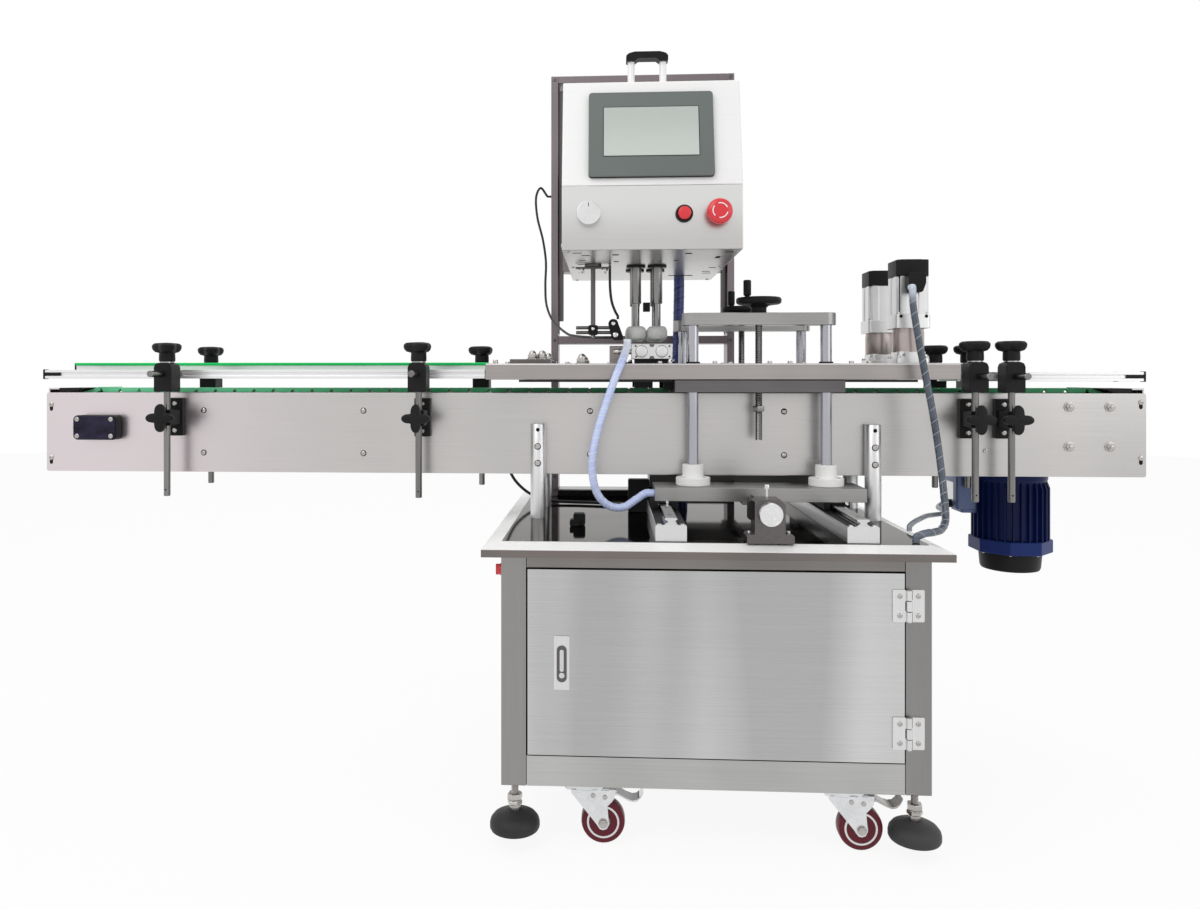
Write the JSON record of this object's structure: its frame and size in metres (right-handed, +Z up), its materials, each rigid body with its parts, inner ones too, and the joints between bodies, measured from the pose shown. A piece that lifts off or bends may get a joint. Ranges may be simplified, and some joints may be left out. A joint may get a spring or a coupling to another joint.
{
  "type": "capping machine",
  "caption": "Inline bottle capping machine: wheeled stainless cabinet, chain conveyor with guide rails, twin grip belts on lift columns, spindle head with touch panel.",
  "frame": {"origin": "on the floor under the middle of the machine's overall length and depth", "axes": "+X along the conveyor to its drive end, +Y away from the operator, +Z up"},
  "size_m": [2.08, 0.7, 1.411],
  "materials": {
    "stainless": "brushed",
    "aluminium": "satin",
    "chrome": "polished",
    "black_plastic": "satin",
    "black_rubber": "matte",
    "white_nylon": "satin",
    "green_plastic": "satin",
    "red_plastic": "gloss",
    "maroon_tyre": "satin",
    "blue_paint": "gloss",
    "blue_hose": "gloss",
    "grey_plastic": "satin",
    "clear_blue_hose": "gloss",
    "grey_sleeve": "gloss",
    "zinc": "satin"
  },
  "bodies": {
    "root": {"cabinet_body": "stainless", "table_top": "stainless", "conveyor_frame": "stainless", "chain_bed": "white_nylon", "conveyor_chain": "green_plastic", "junction_box": "black_plastic", "belt_motor": "blue_paint", "gantry": "stainless", "head_housing": "stainless", "touch_panel": "grey_plastic", "sensor_arm": "black_plastic", "sensor_cable": "black_rubber", "frame_cable": "black_rubber", "bed_cable": "black_rubber", "belt_motor_cable": "black_rubber", "rear_hose": "blue_hose"},
    "door": {"cabinet_door": "stainless"},
    "latch": {"latch_lever": "chrome"},
    "switch": {"main_switch": "red_plastic"},
    "slide_front": {"cross_slide_front": "stainless", "yoke_front": "chrome"},
    "slide_rear": {"cross_slide_rear": "stainless", "yoke_rear": "chrome"},
    "bed_front": {"bed_plate_front": "stainless", "grip_belt_front": "black_rubber", "side_motor_front": "aluminium", "clamp_cylinder": "aluminium", "air_hose": "clear_blue_hose", "motor_cable": "grey_sleeve"},
    "bed_rear": {"bed_plate_rear": "stainless", "grip_belt_rear": "black_rubber", "side_motor_rear": "aluminium"},
    "lift_wheel_front": {"handwheel_front": "black_plastic"},
    "lift_wheel_rear": {"handwheel_rear": "black_plastic"},
    "width_screw": {"width_knob": "aluminium"},
    "idler": {"idler_sprocket": "white_nylon"},
    "drive": {"drive_sprocket": "white_nylon"},
    "stop_button": {"emergency_stop": "red_plastic"},
    "start_button": {"push_button": "red_plastic"},
    "dial": {"speed_dial": "aluminium"},
    "rail_front_left": {"guide_rail_front_left": "aluminium"},
    "spindle_body_front_left": {"spindle_front_left": "white_nylon"},
    "rail_rear_left": {"guide_rail_rear_left": "aluminium"},
    "spindle_body_rear_left": {"spindle_rear_left": "white_nylon"},
    "rail_front_right": {"guide_rail_front_right": "aluminium"},
    "spindle_body_front_right": {"spindle_front_right": "white_nylon"},
    "rail_rear_right": {"guide_rail_rear_right": "aluminium"},
    "spindle_body_rear_right": {"spindle_rear_right": "white_nylon"},
    "foot_left_front": {"levelling_foot_left_front": "black_rubber"},
    "swivel_left_front": {"caster_fork_left_front": "zinc"},
    "wheel_left_front": {"caster_wheel_left_front": "maroon_tyre"},
    "foot_left_rear": {"levelling_foot_left_rear": "black_rubber"},
    "swivel_left_rear": {"caster_fork_left_rear": "zinc"},
    "wheel_left_rear": {"caster_wheel_left_rear": "maroon_tyre"},
    "foot_right_front": {"levelling_foot_right_front": "black_rubber"},
    "swivel_right_front": {"caster_fork_right_front": "zinc"},
    "wheel_right_front": {"caster_wheel_right_front": "maroon_tyre"},
    "foot_right_rear": {"levelling_foot_right_rear": "black_rubber"},
    "swivel_right_rear": {"caster_fork_right_rear": "zinc"},
    "wheel_right_rear": {"caster_wheel_right_rear": "maroon_tyre"}
  },
  "joints": [
    {"name": "door_hinge", "type": "hinge", "parent": "root", "child": "door", "pos_m": [0.52045, -0.335, 0.297], "axis": [0, 0, 1], "range_deg": [0, 110]},
    {"name": "latch_pivot", "type": "hinge", "parent": "door", "child": "latch", "pos_m": [-0.0158, -0.3298, 0.3225], "axis": [-1, 0, 0], "range_deg": [0, 50]},
    {"name": "switch_turn", "type": "hinge", "parent": "root", "child": "switch", "pos_m": [-0.1123, -0.27, 0.43], "axis": [1, 0, 0], "range_deg": [0, 90]},
    {"name": "foot_screw_left_front", "type": "slide", "parent": "root", "child": "foot_left_front", "axis": [0, 0, -1], "range_m": [0, 0.02]},
    {"name": "caster_swivel_left_front", "type": "hinge", "parent": "root", "child": "swivel_left_front", "pos_m": [0.0192, -0.295, 0.09], "axis": [0, 0, 1], "continuous": true},
    {"name": "caster_roll_left_front", "type": "hinge", "parent": "swivel_left_front", "child": "wheel_left_front", "pos_m": [0.0492, -0.295, 0.035], "axis": [0, 1, 0], "continuous": true},
    {"name": "foot_screw_left_rear", "type": "slide", "parent": "root", "child": "foot_left_rear", "axis": [0, 0, -1], "range_m": [0, 0.02]},
    {"name": "caster_swivel_left_rear", "type": "hinge", "parent": "root", "child": "swivel_left_rear", "pos_m": [0.0192, 0.295, 0.09], "axis": [0, 0, 1], "continuous": true},
    {"name": "caster_roll_left_rear", "type": "hinge", "parent": "swivel_left_rear", "child": "wheel_left_rear", "pos_m": [0.0492, 0.295, 0.035], "axis": [0, 1, 0], "continuous": true},
    {"name": "foot_screw_right_front", "type": "slide", "parent": "root", "child": "foot_right_front", "axis": [0, 0, -1], "range_m": [0, 0.02]},
    {"name": "caster_swivel_right_front", "type": "hinge", "parent": "root", "child": "swivel_right_front", "pos_m": [0.4252, -0.295, 0.09], "axis": [0, 0, 1], "continuous": true},
    {"name": "caster_roll_right_front", "type": "hinge", "parent": "swivel_right_front", "child": "wheel_right_front", "pos_m": [0.4552, -0.295, 0.035], "axis": [0, 1, 0], "continuous": true},
    {"name": "foot_screw_right_rear", "type": "slide", "parent": "root", "child": "foot_right_rear", "axis": [0, 0, -1], "range_m": [0, 0.02]},
    {"name": "caster_swivel_right_rear", "type": "hinge", "parent": "root", "child": "swivel_right_rear", "pos_m": [0.4252, 0.295, 0.09], "axis": [0, 0, 1], "continuous": true},
    {"name": "caster_roll_right_rear", "type": "hinge", "parent": "swivel_right_rear", "child": "wheel_right_rear", "pos_m": [0.4552, 0.295, 0.035], "axis": [0, 1, 0], "continuous": true},
    {"name": "drive_turn", "type": "hinge", "parent": "root", "child": "drive", "pos_m": [0.9333, 0, 0.6602], "axis": [0, 1, 0], "continuous": true},
    {"name": "idler_turn", "type": "hinge", "parent": "root", "child": "idler", "pos_m": [-0.9333, 0, 0.6602], "axis": [0, 1, 0], "continuous": true},
    {"name": "stop_press", "type": "slide", "parent": "root", "child": "stop_button", "axis": [0, 1, 0], "range_m": [0, 0.006]},
    {"name": "start_press", "type": "slide", "parent": "root", "child": "start_button", "axis": [0, 1, 0], "range_m": [0, 0.004], "stiffness_N_per_m": 400, "springref_m": -0.0005},
    {"name": "dial_turn", "type": "hinge", "parent": "root", "child": "dial", "pos_m": [0.025, -0.2503, 1.018], "axis": [0, 1, 0], "range_deg": [-150, 150]},
    {"name": "spindle_front_left_turn", "type": "hinge", "parent": "root", "child": "spindle_body_front_left", "pos_m": [0.11, -0.033, 0.831], "axis": [0, 0, 1], "continuous": true},
    {"name": "spindle_front_right_turn", "type": "hinge", "parent": "root", "child": "spindle_body_front_right", "pos_m": [0.15, -0.033, 0.831], "axis": [0, 0, 1], "continuous": true},
    {"name": "spindle_rear_left_turn", "type": "hinge", "parent": "root", "child": "spindle_body_rear_left", "pos_m": [0.11, 0.033, 0.831], "axis": [0, 0, 1], "continuous": true},
    {"name": "spindle_rear_right_turn", "type": "hinge", "parent": "root", "child": "spindle_body_rear_right", "pos_m": [0.15, 0.033, 0.831], "axis": [0, 0, 1], "continuous": true},
    {"name": "width_front", "type": "slide", "parent": "root", "child": "slide_front", "axis": [0, -1, 0], "range_m": [-0.01, 0.02]},
    {"name": "width_rear", "type": "slide", "parent": "root", "child": "slide_rear", "axis": [0, 1, 0], "range_m": [-0.01, 0.02]},
    {"name": "lift_front", "type": "slide", "parent": "slide_front", "child": "bed_front", "axis": [0, 0, 1], "range_m": [0, 0.02]},
    {"name": "lift_rear", "type": "slide", "parent": "slide_rear", "child": "bed_rear", "axis": [0, 0, 1], "range_m": [0, 0.02]},
    {"name": "lift_wheel_front_turn", "type": "hinge", "parent": "slide_front", "child": "lift_wheel_front", "pos_m": [0.329, -0.105, 0.8633], "axis": [0, 0, 1], "range_deg": [-10, 1810]},
    {"name": "lift_wheel_rear_turn", "type": "hinge", "parent": "slide_rear", "child": "lift_wheel_rear", "pos_m": [0.329, 0.105, 0.8633], "axis": [0, 0, 1], "range_deg": [-10, 1810]},
    {"name": "width_screw_turn", "type": "hinge", "parent": "root", "child": "width_screw", "pos_m": [0.3085, -0.3293, 0.5345], "axis": [0, 1, 0], "range_deg": [-910, 1810]},
    {"name": "rail_height_front_left", "type": "slide", "parent": "root", "child": "rail_front_left", "axis": [0, 0, 1], "range_m": [-0.01, 0.01]},
    {"name": "rail_height_rear_left", "type": "slide", "parent": "root", "child": "rail_rear_left", "axis": [0, 0, 1], "range_m": [-0.01, 0.01]},
    {"name": "rail_height_front_right", "type": "slide", "parent": "root", "child": "rail_front_right", "axis": [0, 0, 1], "range_m": [-0.01, 0.01]},
    {"name": "rail_height_rear_right", "type": "slide", "parent": "root", "child": "rail_rear_right", "axis": [0, 0, 1], "range_m": [-0.01, 0.01]}
  ],
  "couplings": [
    {"joint": "idler_turn", "follows": "drive_turn", "ratio": 1},
    {"joint": "spindle_front_right_turn", "follows": "spindle_front_left_turn", "ratio": 1},
    {"joint": "spindle_rear_left_turn", "follows": "spindle_front_left_turn", "ratio": -1},
    {"joint": "spindle_rear_right_turn", "follows": "spindle_front_left_turn", "ratio": -1},
    {"joint": "width_rear", "follows": "width_front", "ratio": 1},
    {"joint": "width_screw_turn", "follows": "width_front", "rad_per_m": 1570.8},
    {"joint": "lift_wheel_front_turn", "follows": "lift_front", "rad_per_m": 1570.8},
    {"joint": "lift_wheel_rear_turn", "follows": "lift_rear", "rad_per_m": 1570.8}
  ]
}
